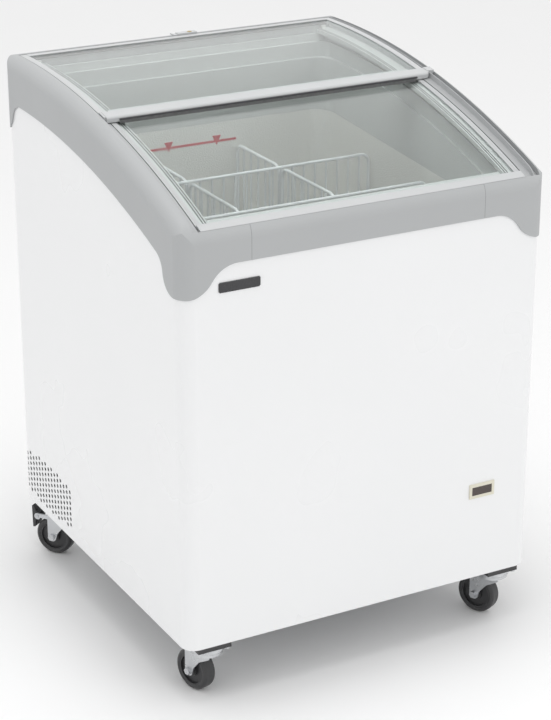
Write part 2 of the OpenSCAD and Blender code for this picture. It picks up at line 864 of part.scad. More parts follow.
function grille_screw_points() = [for (x = [-inner_hw + 32, 0, inner_hw - 32],
    z = [floor_gap + 12, machine_top - 10]) [x, z]];

// Cross-recess screws that hold the grille
module grille_screws() {
    color(zinc) for (p = grille_screw_points())
        translate([p[0], grille_y, p[1]]) rotate([-90, 0, 0]) difference() {
            union() {
                translate([0, 0, 1.55]) cylinder(r = 4, h = 1.6, $fn = 32);
                translate([0, 0, -9]) cylinder(r = 2, h = 11, $fn = 24);
            }
            translate([-2.5, -0.5, 2.4]) cube([5, 1, 2]);
            translate([-0.5, -2.5, 2.4]) cube([1, 5, 2]);
        }
}

// Terminal box with the thermostat above it, on a common bracket
module inlet_box() {
    color([0.15, 0.15, 0.16]) difference() {
        union() {
            translate([gland_x - 36, grille_y - 46, pan_top + 0.1]) cube([72, 44, 66]);
            translate([knob_x - 26, grille_y - 42, knob_z - 22]) cube([52, 28, 44]);
            translate([knob_x - 26, grille_y - 46, pan_top + 0.1])
                cube([gland_x - knob_x, 3, knob_z + 22 - pan_top]);
        }
        translate([gland_x, grille_y - 32, gland_z]) rotate([-90, 0, 0])
            cylinder(r = 8, h = 40, $fn = round_fn);
        translate([knob_x, grille_y - 30, knob_z]) rotate([-90, 0, 0])
            cylinder(r = 3 + eps, h = 20, $fn = round_fn);
    }
}

module cord_gland() {
    color(black) translate([gland_x, grille_y - 16, gland_z]) rotate([-90, 0, 0]) difference() {
        union() {
            cylinder(r = 7.9, h = 19, $fn = round_fn);
            translate([0, 0, 17.6]) cylinder(r = 11, h = 2, $fn = round_fn);
        }
        translate([0, 0, -1]) cylinder(r = gland_bore_r, h = 30, $fn = round_fn);
    }
}

module thermostat_knob() {
    color(black) translate([knob_x, grille_y - 26, knob_z]) rotate([-90, 0, 0]) {
        cylinder(r = 3, h = 16, $fn = round_fn);
        difference() {
            translate([0, 0, 14.5]) cylinder(r = 15, h = 14.5, $fn = round_fn);
            translate([-0.8, 4, 28]) cube([1.6, 12, 2]);
        }
    }
}

module drain_plug() {
    color([0.3, 0.3, 0.32]) translate([drain_x, drain_y, tank_floor]) {
        translate([0, 0, 0.3]) cylinder(r = 16, h = 4, $fn = round_fn);
        translate([0, 0, -20]) cylinder(r = drain_r, h = 21, $fn = round_fn);
        translate([0, 0, 4]) rotate_extrude($fn = round_fn) translate([4, 0]) square([3, 8]);
    }
}

// ---------- lock on the rear rail ----------

lock_x = 12;
lock_y = half_d - rear_rim_w / 2 - 0.5;
lock_top = arc_height(lock_y, top_r) + 3;
lock_low = arc_height(lock_y - 6, top_r) + 0.1;
lock_r = 4.4;

module lock_housing() {
    color(zinc) difference() {
        translate([lock_x - 25, lock_y - 6, lock_low]) cube([50, 12, lock_top - lock_low]);
        translate([lock_x + 12, lock_y, overall_h - 20])
            cylinder(r = lock_r + eps, h = 40, $fn = round_fn);
        translate([lock_x - 23, lock_y - 7, lock_top - 1.8]) cube([9, 14, 3]);
    }
}

module lock_barrel() {
    low = arc_height(lock_y - lock_r, top_r) + 0.4;
    color("gold") translate([lock_x + 12, lock_y, low]) difference() {
        cylinder(r = lock_r, h = lock_top - low + 0.6, $fn = round_fn);
        translate([-0.5, -2.5, lock_top - low - 1]) cube([1, 5, 3]);
    }
}

// ---------- rear lid ----------

glass_tint = [0.80, 0.88, 0.88, 0.3];

module rear_glass() {
    color(glass_tint) sweep(rear_lid_a + degrees_of(4), mid_a - degrees_of(mid_bar_w - 6))
        band(rear_glass_r - glass_t, rear_glass_r, -rear_lid_hw + 7, rear_lid_hw - 7);
}

// Half-round bar, used as the pull of the rear lid; it clamps the glass edge
module rear_lid_mid_bar() {
    r1 = top_r - 8;
    r2 = top_r + 2;
    color(light_grey) difference() {
        along_x(4 - rear_lid_hw, rear_lid_hw - 4) difference() {
            intersection() {
                difference() {
                    translate([arc_y, arc_z]) circle(r2, $fn = fine);
                    translate([arc_y, arc_z]) circle(r1, $fn = fine);
                }
                polygon([arc_point(top_r - 30, mid_bar_a), arc_point(top_r + 30, mid_bar_a),
                    arc_point(top_r + 30, mid_a), arc_point(top_r - 30, mid_a)]);
            }
            corner_cut(arc_point(r2 - 4, mid_bar_a + degrees_of(4)), 4,
                90 + mid_bar_a, mid_bar_a);
            corner_cut(arc_point(r2 - 4, mid_a - degrees_of(4)), 4, 180 + mid_a, 90 + mid_a);
        }
        sweep(mid_bar_a - 0.2, mid_a - degrees_of(mid_bar_w - 6.5))
            band(rear_glass_r - glass_t - 0.1, rear_glass_r + 0.1, -rear_lid_hw, rear_lid_hw);
    }
}

module rear_lid_back_bar() {
    color(light_grey) difference() {
        sweep(rear_lid_a, rear_lid_a + degrees_of(back_bar_w))
            band(top_r - 6.6, top_r - 0.5, 12 - rear_lid_hw, rear_lid_hw - 12);
        sweep(rear_lid_a + degrees_of(3.6), rear_lid_a + 2)
            band(rear_glass_r - glass_t - 0.1, rear_glass_r + 0.1, -rear_lid_hw, rear_lid_hw);
    }
}

// Side strips that carry the glass and slide on the upper runway
module rear_lid_runners() {
    r1 = recess_r + 0.5;
    color(light_grey) difference() {
        sweep(rear_lid_a, mid_bar_a - degrees_of(0.3))
            both_bands(r1, top_r - 0.8, rear_lid_hw - 11.7, rear_lid_hw);
        sweep(rear_lid_a + degrees_of(3.6), mid_bar_a + 1)
            band(rear_glass_r - glass_t - 0.1, rear_glass_r + 0.1, 6.6 - rear_lid_hw,
                rear_lid_hw - 6.6);
    }
}

// Bar ends; the right one has a tab that reaches over the rim into its groove
module rear_lid_end_caps() {
    x1 = rear_lid_hw - 3.9;
    a1 = mid_bar_a + degrees_of(2);
    color(light_grey) {
        sweep(a1, mid_a - degrees_of(3)) both_bands(top_r - 8, top_r + 1.5, x1, rear_lid_hw);
        sweep(a1, mid_a - degrees_of(8)) {
            band(top_r + 0.4, top_r + 2.5, rear_lid_hw - 1, groove_x + groove_w - 1);
            band(top_r - 6, top_r + 0.5, groove_x + 1, groove_x + groove_w - 1);
        }
    }
}

module brush_seal() {
    color([0.2, 0.2, 0.2]) sweep(mid_a + degrees_of(0.1), mid_a + degrees_of(3))
        band(front_glass_r + 0.4, top_r - 1.5, 14 - front_lid_hw, front_lid_hw - 14);
}

// ---------- front lid ----------

nose_a = front_lid_end_a - degrees_of(nose_bar_w);

module front_glass() {
    color(glass_tint) sweep(front_lid_a + degrees_of(4), nose_a + degrees_of(6))
        band(front_glass_r - glass_t, front_glass_r, -front_lid_hw + 6, front_lid_hw - 6);
}

module front_lid_nose_bar() {
    color(light_grey) difference() {
        sweep(nose_a, front_lid_end_a)
            band(lower_r + 0.4, top_r - 7, 0.3 - front_lid_hw, front_lid_hw - 0.3);
        sweep(nose_a - 0.2, nose_a + degrees_of(6.4))
            band(front_glass_r - glass_t - 0.1, front_glass_r + 0.1, -front_lid_hw, front_lid_hw);
    }
}

module front_lid_back_bar() {
    color(light_grey) difference() {
        sweep(front_lid_a, front_lid_a + degrees_of(back_bar_w))
            band(lower_r + 0.6, top_r - 7.4, 10 - front_lid_hw, front_lid_hw - 10);
        sweep(front_lid_a + degrees_of(3.6), front_lid_a + 2)
            band(front_glass_r - glass_t - 0.1, front_glass_r + 0.1, -front_lid_hw, front_lid_hw);
    }
}

module front_lid_runners() {
    color(light_grey) difference() {
        sweep(front_lid_a, nose_a - degrees_of(0.3))
            both_bands(lower_r + 0.4, top_r - 10.4, front_lid_hw - 9.7, front_lid_hw);
        sweep(front_lid_a + degrees_of(3.6), nose_a + 1)
            band(front_glass_r - glass_t - 0.1, front_glass_r + 0.1, 5.6 - front_lid_hw,
                front_lid_hw - 5.6);
    }
}

// ---------- dividers ----------

long_hw = tank_hw - divider_gap;
wire_r = rim_wire_d / 2;
bend_r = 20;

// Upright wire panel in X and Z: a closed rim with rounded corners and upright wires
module wire_panel(x1, x2, z1, z2) {
    count = floor((x2 - x1 - 2 * bend_r) / wire_pitch);
    gap = (x2 - x1) / (count + 1);
    for (z = [z1 + wire_r, z2 - wire_r]) translate([x1 + bend_r, 0, z]) rotate([0, 90, 0])
        cylinder(r = wire_r, h = x2 - x1 - 2 * bend_r, $fn = 24);
    for (x = [x1 + wire_r, x2 - wire_r]) translate([x, 0, z1 + bend_r])
        cylinder(r = wire_r, h = z2 - z1 - 2 * bend_r, $fn = 24);
    for (i = [0:3])
        translate([i == 0 || i == 3 ? x2 - bend_r : x1 + bend_r, 0,
                i < 2 ? z2 - bend_r : z1 + bend_r])
            rotate([90, 0, 0]) rotate([0, 0, i * 90]) rotate_extrude(angle = 90, $fn = round_fn)
                translate([bend_r - wire_r, 0]) circle(r = wire_r, $fn = 24);
    for (i = [1:count]) translate([x1 + i * gap, 0, z1 + wire_r])
        cylinder(d = upright_wire_d, h = z2 - z1 - 2 * wire_r, $fn = 20);
}

module long_divider_rear() {
    color(white) translate([0, long_rear_y, 0])
        wire_panel(-long_hw, long_hw, step_z + 0.3, divider_top);
}

module long_divider_front() {
    color(white) translate([0, long_front_y, 0])
        wire_panel(-long_hw, long_hw, tank_floor + 0.3, divider_top);
}

// Two cross panels between the front long divider and the rear wall
module cross_dividers() {
    y1 = long_front_y + wire_r + 0.3;
    y2 = long_rear_y - wire_r - 0.3;
    y3 = long_rear_y + wire_r + 0.3;
    y4 = tank_hd - divider_gap;
    color(white) for (s = [-1, 1]) translate([s * cross_x, 0, 0]) rotate([0, 0, 90]) {
        wire_panel(y1, y2, step_z + 0.3, divider_top);
        wire_panel(y3, y4, step_z + 0.3, divider_top);
    }
}

// ---------- casters ----------

caster_x = half_w - caster_inset_x;
front_caster_y = front_caster_inset - half_d;
rear_caster_y = half_d - rear_caster_inset;
wheel_r = wheel_d / 2;
head_r = 27;
head_z = floor_gap - caster_plate_t;
crown_z = wheel_d + 4;
crown_t = 3;
leg_t = 3;
leg_y = wheel_w / 2 + 1.5;
kingpin_r = 5;
axle_r = 4;

// Swivel place and heading of the trailing wheel, counter-clockwise from +X
front_left = [-caster_x, front_caster_y, 106];
front_right = [caster_x, front_caster_y, 114];
rear_left = [-caster_x, rear_caster_y, 127];
rear_right = [caster_x, rear_caster_y, 110];

module at_caster(place) {
    translate([place[0], place[1], 0]) rotate([0, 0, place[2]]) children();
}

// Black mounting plate with the pressed steel ball race under it
module caster_plates() {
    race_z = crown_z + crown_t + 4;
    for (p = [front_left, front_right, rear_left, rear_right])
        translate([p[0], p[1], 0]) difference() {
            union() {
                color(black) translate([-caster_plate_w / 2, -caster_plate_w / 2, head_z])
                    cube([caster_plate_w, caster_plate_w, caster_plate_t - 0.1]);
                color(zinc) translate([0, 0, race_z])
                    cylinder(r = head_r, h = head_z - race_z + 1, $fn = round_fn);
            }
            translate([0, 0, race_z - 1])
                cylinder(r = kingpin_r + eps, h = head_z - race_z + 5, $fn = round_fn);
        }
}

// Pressed fork with its king pin and the axle bolt; the wheel trails along +x
module fork(brake) {
    top = crown_z + crown_t;
    color(zinc) {
        difference() {
            union() {
                translate([0, 0, crown_z]) cylinder(r = head_r - 3, h = crown_t, $fn = round_fn);
                translate([-10, -leg_y - leg_t, crown_z])
                    cube([caster_trail + 19, 2 * (leg_y + leg_t), crown_t]);
                translate([0, 0, top - 1]) cylinder(r = head_r, h = 4.7, $fn = round_fn);
                for (s = [-1, 1]) translate([0, s * (leg_y + leg_t / 2) + leg_t / 2, 0])
                    rotate([90, 0, 0]) linear_extrude(leg_t) fork_leg();
            }
            translate([caster_trail, leg_y + leg_t + 5, wheel_r]) rotate([90, 0, 0])
                cylinder(r = axle_r + 0.1, h = 2 * (leg_y + leg_t + 5), $fn = round_fn);
        }
        translate([0, 0, top]) cylinder(r = kingpin_r, h = head_z - top + 2, $fn = round_fn);
        translate([caster_trail, 0, wheel_r]) rotate([90, 0, 0]) {
            translate([0, 0, -leg_y - leg_t - 2])
                cylinder(r = axle_r, h = 2 * (leg_y + leg_t + 2), $fn = round_fn);
            for (z = [-leg_y - leg_t - 5, leg_y + leg_t + 0.1])
                translate([0, 0, z]) cylinder(r = 6.6, h = 4.9, $fn = 6);
        }
    }
}

module fork_leg() {
    back = caster_trail + 9;
    polygon([[-head_r + 6, crown_z + crown_t], [back, crown_z + crown_t], [back, wheel_r],
        [caster_trail - 8.5, wheel_r - 3], [caster_trail - 12, wheel_r + 9], [2, wheel_r + 26],
        [-head_r + 6, crown_z - 2]]);
    translate([caster_trail, wheel_r]) circle(9, $fn = round_fn);
}

// Solid tyre on a recessed disc with a bored hub
module wheel() {
    hw = wheel_w / 2;
    color(black) translate([caster_trail, 0, wheel_r]) rotate([90, 0, 0])
        rotate_extrude($fn = 96) difference() {
            union() {
                translate([axle_r + eps, -hw]) square([8, wheel_w]);
                translate([axle_r + 4, -hw + 5]) square([wheel_r - 12, wheel_w - 10]);
                translate([wheel_r - 12, -hw + 1]) square([8, wheel_w - 2]);
                translate([wheel_r - 6, -hw + 6]) square([6, wheel_w - 12]);
                for (s = [-1, 1]) translate([wheel_r - 6, s * (hw - 6)]) circle(6, $fn = 48);
            }
            translate([wheel_r - 20, hw + 1]) circle(3.5, $fn = 32);
        }
}

// Foot pedal behind the wheel, on a pin between the fork legs
pedal_x = caster_trail + 31;
pedal_z = wheel_r + 38;

module brake_pedal() {
    color(black) difference() {
        union() {
            translate([0, 12, 0]) rotate([90, 0, 0]) linear_extrude(24) {
                translate([pedal_x, pedal_z]) circle(6, $fn = round_fn);
                polygon([[pedal_x - 2, pedal_z + 5], [pedal_x + 4, pedal_z - 4],
                    [pedal_x + 9, pedal_z - 26], [pedal_x + 13, pedal_z - 26],
                    [pedal_x + 14, pedal_z + 18], [pedal_x + 11, pedal_z + 20],
                    [pedal_x + 6, pedal_z + 8]]);
            }
            translate([0, 8, 0]) rotate([90, 0, 0]) linear_extrude(16)
                polygon([[pedal_x - 2, pedal_z - 4], [pedal_x + 4, pedal_z - 4],
                    [pedal_x + 7, pedal_z - 22], [pedal_x + 5, pedal_z - 20]]);
        }
        translate([pedal_x, 20, pedal_z]) rotate([90, 0, 0])
            cylinder(r = 3 + eps, h = 40, $fn = round_fn);
    }
}

// Ears on the fork that hold the pedal's pin
module pedal_ears() {
    color(zinc) {
        for (s = [-1, 1]) translate([0, s * (leg_y + leg_t / 2) + leg_t / 2, 0])
            rotate([90, 0, 0]) linear_extrude(leg_t) {
                translate([caster_trail, pedal_z - 2]) square([31, 8]);
                translate([pedal_x, pedal_z]) circle(6.5, $fn = round_fn);
            }
        translate([pedal_x, leg_y + leg_t + 1, pedal_z]) rotate([90, 0, 0])
            cylinder(r = 3, h = 2 * (leg_y + leg_t + 1), $fn = round_fn);
    }
}

module caster_fork_front_left() { at_caster(front_left) fork(); }
module caster_fork_front_right() { at_caster(front_right) fork(); }

module caster_fork_rear_left() {
    at_caster(rear_left) {
        fork();
        pedal_ears();
    }
}

module caster_fork_rear_right() {
    at_caster(rear_right) {
        fork();
        pedal_ears();
    }
}

module wheel_front_left() { at_caster(front_left) wheel(); }
module wheel_front_right() { at_caster(front_right) wheel(); }
module wheel_rear_left() { at_caster(rear_left) wheel(); }
module wheel_rear_right() { at_caster(rear_right) wheel(); }
module brake_pedal_left() { at_caster(rear_left) brake_pedal(); }
module brake_pedal_right() { at_caster(rear_right) brake_pedal(); }

cabinet_wrap();
rear_panel();
base_pan();
insulation_foam();
liner_tank();
evaporator_coil();
inner_collar();
side_frame_left();
side_frame_right();
front_rail();
rear_rail();
lid_track_left();
lid_track_right();
lid_seals();
corner_clips();
load_line();
display_bezel();
display_window();
badge_plate();
compartment_wall();
compressor();
compressor_feet();
condenser();
fan_bracket();
fan_motor();
fan_blade();
refrigerant_lines();
inlet_box();
cord_gland();
thermostat_knob();
rear_grille();
grille_screws();
drain_plug();
lock_housing();
lock_barrel();
caster_plates();
rear_glass();
rear_lid_mid_bar();
rear_lid_back_bar();
rear_lid_runners();
rear_lid_end_caps();
brush_seal();
front_glass();
front_lid_nose_bar();
front_lid_back_bar();
front_lid_runners();
long_divider_rear();
long_divider_front();
cross_dividers();
caster_fork_front_left();
caster_fork_front_right();
caster_fork_rear_left();
caster_fork_rear_right();
wheel_front_left();
wheel_front_right();
wheel_rear_left();
wheel_rear_right();
brake_pedal_left();
brake_pedal_right();
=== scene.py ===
import json
import math

import bmesh
import bpy
from mathutils import Matrix, Vector


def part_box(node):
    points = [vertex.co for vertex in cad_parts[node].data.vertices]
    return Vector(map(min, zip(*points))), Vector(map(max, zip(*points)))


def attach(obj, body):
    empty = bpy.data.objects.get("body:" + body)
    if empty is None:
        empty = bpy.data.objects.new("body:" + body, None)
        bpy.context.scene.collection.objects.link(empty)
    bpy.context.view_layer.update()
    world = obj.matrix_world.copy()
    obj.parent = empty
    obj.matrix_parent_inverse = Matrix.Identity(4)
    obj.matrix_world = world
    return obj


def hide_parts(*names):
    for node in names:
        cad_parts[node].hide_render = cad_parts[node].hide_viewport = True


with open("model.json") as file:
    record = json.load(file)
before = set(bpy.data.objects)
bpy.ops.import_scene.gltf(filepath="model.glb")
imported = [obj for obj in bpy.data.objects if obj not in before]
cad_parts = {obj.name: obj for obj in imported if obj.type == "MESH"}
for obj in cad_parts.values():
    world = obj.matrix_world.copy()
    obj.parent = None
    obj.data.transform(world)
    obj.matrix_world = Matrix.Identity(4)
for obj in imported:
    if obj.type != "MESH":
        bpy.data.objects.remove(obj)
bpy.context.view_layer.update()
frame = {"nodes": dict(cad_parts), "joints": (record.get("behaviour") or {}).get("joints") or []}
nodes = frame["nodes"]
joint = {j["name"]: j for j in frame["joints"]}

# ---- Camera: stands to the left of the front, above the lids, looking down on them.
# A long lens keeps the cabinet's edges nearly parallel.
camera_data = bpy.data.cameras.new("camera")
camera = bpy.data.objects.new("camera", camera_data)
bpy.context.scene.collection.objects.link(camera)
bpy.context.scene.camera = camera
camera.location = (-1.684, -3.118, 1.868)
look_down, look_right = 21.93, 28.61
camera.rotation_euler = (math.radians(90 - look_down), 0, math.radians(-look_right))
sensor_size = 36
picture_height = 720
focal_length = 2109.2  # on the scale of picture_height
camera_data.sensor_width = sensor_size
camera_data.lens = focal_length / picture_height * sensor_size
camera_data.clip_start, camera_data.clip_end = 0.05, 60


# ---- Studio floor: a wide pale sheet that the casters stand on.
# It is matte, with the faintest mottling of painted board.
def material(name, color, rough, metal=0.0, **sockets):
    made = bpy.data.materials.new(name)
    made.use_nodes = True
    shader = made.node_tree.nodes["Principled BSDF"]
    shader.inputs["Base Color"].default_value = (*color, 1)
    shader.inputs["Roughness"].default_value = rough
    shader.inputs["Metallic"].default_value = metal
    for key, value in sockets.items():
        shader.inputs[key.replace("_", " ").title().replace("Ior", "IOR")].default_value = value
    return made


def new_group(name, inputs, outputs):
    tree = bpy.data.node_groups.new(name, "ShaderNodeTree")
    for title, value in inputs:
        socket = tree.interface.new_socket(title, in_out="INPUT", socket_type="NodeSocketFloat")
        socket.default_value = value
    for title, kind in outputs:
        tree.interface.new_socket(title, in_out="OUTPUT", socket_type=kind)
    return tree, tree.nodes.new("NodeGroupInput"), tree.nodes.new("NodeGroupOutput")


# Fine grain: small bumps of a given pitch, with broad soft blotches for colour and gloss.
grain_tree, grain_in, grain_out = new_group(
    "fine_grain", [("Pitch", 400), ("Depth", 0.0002), ("Blotch", 6)],
    [("Normal", "NodeSocketVector"), ("Blotch", "NodeSocketFloat")])
grain_place = grain_tree.nodes.new("ShaderNodeTexCoord")
fine_bumps = grain_tree.nodes.new("ShaderNodeTexNoise")
broad_blotches = grain_tree.nodes.new("ShaderNodeTexNoise")
grain_bump = grain_tree.nodes.new("ShaderNodeBump")
fine_bumps.inputs["Detail"].default_value = 4
broad_blotches.inputs["Detail"].default_value = 3
for noise, size in ((fine_bumps, "Pitch"), (broad_blotches, "Blotch")):
    grain_tree.links.new(grain_place.outputs["Object"], noise.inputs["Vector"])
    grain_tree.links.new(grain_in.outputs[size], noise.inputs["Scale"])
grain_tree.links.new(fine_bumps.outputs["Fac"], grain_bump.inputs["Height"])
grain_tree.links.new(grain_in.outputs["Depth"], grain_bump.inputs["Distance"])
grain_tree.links.new(grain_bump.outputs["Normal"], grain_out.inputs["Normal"])
grain_tree.links.new(broad_blotches.outputs["Fac"], grain_out.inputs["Blotch"])


def grained(made, pitch, depth, blotch, tint, gloss):
    """Adds the fine grain to a material: tint is the darker colour, gloss the roughness range."""
    tree = made.node_tree
    shader = tree.nodes["Principled BSDF"]
    grain = tree.nodes.new("ShaderNodeGroup")
    grain.node_tree = grain_tree
    grain.inputs["Pitch"].default_value = pitch
    grain.inputs["Depth"].default_value = depth
    grain.inputs["Blotch"].default_value = blotch
    mix = tree.nodes.new("ShaderNodeMix")
    mix.data_type = "RGBA"
    mix.inputs["A"].default_value = shader.inputs["Base Color"].default_value[:]
    mix.inputs["B"].default_value = (*tint, 1)
    spread = tree.nodes.new("ShaderNodeMapRange")
    spread.inputs["From Min"].default_value = 0.35
    spread.inputs["From Max"].default_value = 0.7
    spread.inputs["To Min"].default_value = gloss[0]
    spread.inputs["To Max"].default_value = gloss[1]
    tree.links.new(grain.outputs["Blotch"], mix.inputs["Factor"])
    tree.links.new(mix.outputs["Result"], shader.inputs["Base Color"])
    tree.links.new(grain.outputs["Blotch"], spread.inputs["Value"])
    tree.links.new(spread.outputs["Result"], shader.inputs["Roughness"])
    tree.links.new(grain.outputs["Normal"], shader.inputs["Normal"])
    return made


def dress(made, *names):
    for name in names:
        for i in range(len(nodes[name].data.materials)):
            nodes[name].data.materials[i] = made


def add_mesh(name, mesh, made):
    piece = bpy.data.objects.new(name, mesh)
    bpy.context.scene.collection.objects.link(piece)
    mesh.materials.clear()
    mesh.materials.append(made)
    return piece


floor_half = 30
floor_mesh = bpy.data.meshes.new("floor")
floor_mesh.from_pydata([(-floor_half, -floor_half, 0), (floor_half, -floor_half, 0),
                        (floor_half, floor_half, 0), (-floor_half, floor_half, 0)],
                       [], [(0, 1, 2, 3)])
floor = add_mesh("floor", floor_mesh, grained(
    material("pale_floor", (0.93, 0.93, 0.93), 0.6), 60, 0.0, 2, (0.92, 0.92, 0.92), (0.55, 0.65)))

# ---- Studio light: a bright surround, one large soft panel in front and one above,
# and a weaker one on the left side. The view is plain, so that white stays white.
bpy.context.scene.view_settings.view_transform = "Standard"
world = bpy.data.worlds.new("surround")
world.use_nodes = True
world.node_tree.nodes["Background"].inputs["Color"].default_value = (1, 1, 1, 1)
world.node_tree.nodes["Background"].inputs["Strength"].default_value = 0.92
bpy.context.scene.world = world


def soft_panel(name, place, target, size, power):
    data = bpy.data.lights.new(name, "AREA")
    data.shape = "RECTANGLE"
    data.size, data.size_y = size
    data.energy = power
    panel = bpy.data.objects.new(name, data)
    bpy.context.scene.collection.objects.link(panel)
    panel.location = place
    aim = Vector(target) - Vector(place)
    panel.rotation_euler = aim.to_track_quat("-Z", "Y").to_euler()


soft_panel("front_panel", (1.6, -3.4, 2.2), (0, 0, 0.5), (1.8, 1.8), 12)
soft_panel("top_panel", (-0.3, -0.2, 3.4), (0, 0, 0.7), (1.6, 1.6), 22)
soft_panel("left_panel", (-3.2, -0.6, 1.8), (0, 0, 0.5), (1.4, 1.4), 2)

# ---- Cabinet: folded steel sheet with a white baked paint.
# Under a raking light the paint shows its slight orange-peel skin.
white_paint = grained(material("white_paint", (0.86, 0.865, 0.87), 0.3, coat_weight=0.35,
                               coat_roughness=0.12),
                      260, 0.00006, 3, (0.835, 0.84, 0.845), (0.26, 0.36))
dress(white_paint, "cabinet_wrap", "rear_panel")

galvanised = grained(material("galvanised", (0.55, 0.56, 0.57), 0.42, 0.9),
                     90, 0.00008, 45, (0.42, 0.43, 0.44), (0.3, 0.55))
dress(galvanised, "base_pan", "compartment_wall", "fan_bracket")

grille_paint = grained(material("grille_paint", (0.62, 0.63, 0.64), 0.4),
                       500, 0.00005, 5, (0.58, 0.59, 0.60), (0.34, 0.46))
dress(grille_paint, "rear_grille")

# The blown foam between the sheets, open-celled and yellowish where it can be seen at all.
foam = grained(material("blown_foam", (0.85, 0.78, 0.55), 0.9), 150, 0.0008, 12,
               (0.74, 0.66, 0.42), (0.85, 0.98))
dress(foam, "insulation_foam")


# ---- Rear panel rivets: dome-headed blind rivets down both edges and along the foot,
# set from outside through the panel into the cabinet's folded edges.
def tree_input(tree, title, kind, value):
    socket = tree.interface.new_socket(title, in_out="INPUT", socket_type=kind)
    socket.default_value = value
    return socket.identifier


def grown(name, points, build, made, values):
    """Runs a Geometry Nodes tree over a set of points (with normals) and returns a plain piece."""
    mesh = bpy.data.meshes.new(name + "_points")
    mesh.from_pydata([tuple(p) for p, n in points], [], [])
    aim = mesh.attributes.new("aim", "FLOAT_VECTOR", "POINT")
    for i, (p, n) in enumerate(points):
        aim.data[i].vector = n
    seed = bpy.data.objects.new(name + "_seed", mesh)
    bpy.context.scene.collection.objects.link(seed)
    tree = bpy.data.node_groups.new(name, "GeometryNodeTree")
    tree.interface.new_socket("Geometry", in_out="INPUT", socket_type="NodeSocketGeometry")
    tree.interface.new_socket("Geometry", in_out="OUTPUT", socket_type="NodeSocketGeometry")
    ids = {t: tree_input(tree, t, "NodeSocketFloat", v) for t, v in values.items()}
    start = tree.nodes.new("NodeGroupInput")
    end = tree.nodes.new("NodeGroupOutput")
    shape = build(tree, start)
    aim_in = tree.nodes.new("GeometryNodeInputNamedAttribute")
    aim_in.data_type = "FLOAT_VECTOR"
    aim_in.inputs["Name"].default_value = "aim"
    turn = tree.nodes.new("FunctionNodeAlignRotationToVector")
    turn.axis = "Z"
    to_points = tree.nodes.new("GeometryNodeMeshToPoints")
    place = tree.nodes.new("GeometryNodeInstanceOnPoints")
    real = tree.nodes.new("GeometryNodeRealizeInstances")
    paint = tree.nodes.new("GeometryNodeSetMaterial")
    paint.inputs["Material"].default_value = made
    link = tree.links.new
    link(start.outputs["Geometry"], to_points.inputs["Mesh"])
    link(to_points.outputs["Points"], place.inputs["Points"])
    link(aim_in.outputs["Attribute"], turn.inputs["Vector"])
    link(turn.outputs["Rotation"], place.inputs["Rotation"])
    link(shape, place.inputs["Instance"])
    link(place.outputs["Instances"], real.inputs["Geometry"])
    link(real.outputs["Geometry"], paint.inputs["Geometry"])
    link(paint.outputs["Geometry"], end.inputs["Geometry"])
    modifier = seed.modifiers.new("grow", "NODES")
    modifier.node_group = tree
    for title, value in values.items():
        modifier[ids[title]] = value
    graph = bpy.context.evaluated_depsgraph_get()
    result = bpy.data.meshes.new_from_object(seed.evaluated_get(graph), depsgraph=graph)
    seed.modifiers.clear()
    bpy.data.objects.remove(seed)
    result.name = name
    if "aim" in result.attributes:
        result.attributes.remove(result.attributes["aim"])
    return add_mesh(name, result, made)


def dome(tree, start):
    ball = tree.nodes.new("GeometryNodeMeshUVSphere")
    ball.inputs["Segments"].default_value = 16
    ball.inputs["Rings"].default_value = 10
    squash = tree.nodes.new("GeometryNodeTransform")
    flat = tree.nodes.new("ShaderNodeCombineXYZ")
    flat.inputs["X"].default_value = 1
    flat.inputs["Y"].default_value = 1
    tree.links.new(start.outputs["Radius"], ball.inputs["Radius"])
    tree.links.new(start.outputs["Crown"], flat.inputs["Z"])
    tree.links.new(ball.outputs["Mesh"], squash.inputs["Geometry"])
    tree.links.new(flat.outputs["Vector"], squash.inputs["Scale"])
    return squash.outputs["Geometry"]


bright_zinc = grained(material("bright_zinc", (0.66, 0.67, 0.68), 0.3, 1.0),
                      220, 0.00006, 30, (0.52, 0.53, 0.55), (0.2, 0.42))
panel_low, panel_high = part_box("rear_panel")
edge_gaps = 6
lowest_rivet, rows_short = 0.03, 0.14
rivet_inset, rivet_lift = 0.009, 0.0001
rivet_spots = []
for k in range(edge_gaps + 1):
    z = panel_low.z + lowest_rivet + k * (panel_high.z - panel_low.z - rows_short) / edge_gaps
    for x in (panel_low.x + rivet_inset, panel_high.x - rivet_inset):
        rivet_spots.append(((x, panel_high.y + rivet_lift, z), (0, 1, 0)))
for k in range(1, edge_gaps):
    x = panel_low.x + k * (panel_high.x - panel_low.x) / edge_gaps
    rivet_spots.append(((x, panel_high.y + rivet_lift, panel_low.z + rivet_inset), (0, 1, 0)))
rivets = grown("rear_panel_rivets", rivet_spots, dome, bright_zinc, {"Radius": 0.0032, "Crown": 0.4})
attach(rivets, "cabinet")

# ---- Top frame: four injection-moulded parts in light grey plastic with a fine matte texture.
# They butt against each other at two joints in front and two behind.
lid_axis = Vector(joint["rear_lid_slide"]["pos_m"])
frame_grey = grained(material("frame_grey", (0.44, 0.45, 0.455), 0.5), 1400, 0.00007, 4,
                     (0.415, 0.425, 0.43), (0.46, 0.58))
tree = frame_grey.node_tree
where = tree.nodes.new("ShaderNodeTexCoord")
split = tree.nodes.new("ShaderNodeSeparateXYZ")
tree.links.new(where.outputs["Object"], split.inputs["Vector"])


def band_mask(tree, value, middle, half):
    """1 within half of middle, 0 outside."""
    near = tree.nodes.new("ShaderNodeMath")
    near.operation = "COMPARE"
    near.inputs[1].default_value = middle
    near.inputs[2].default_value = half
    tree.links.new(value, near.inputs[0])
    return near.outputs["Value"]


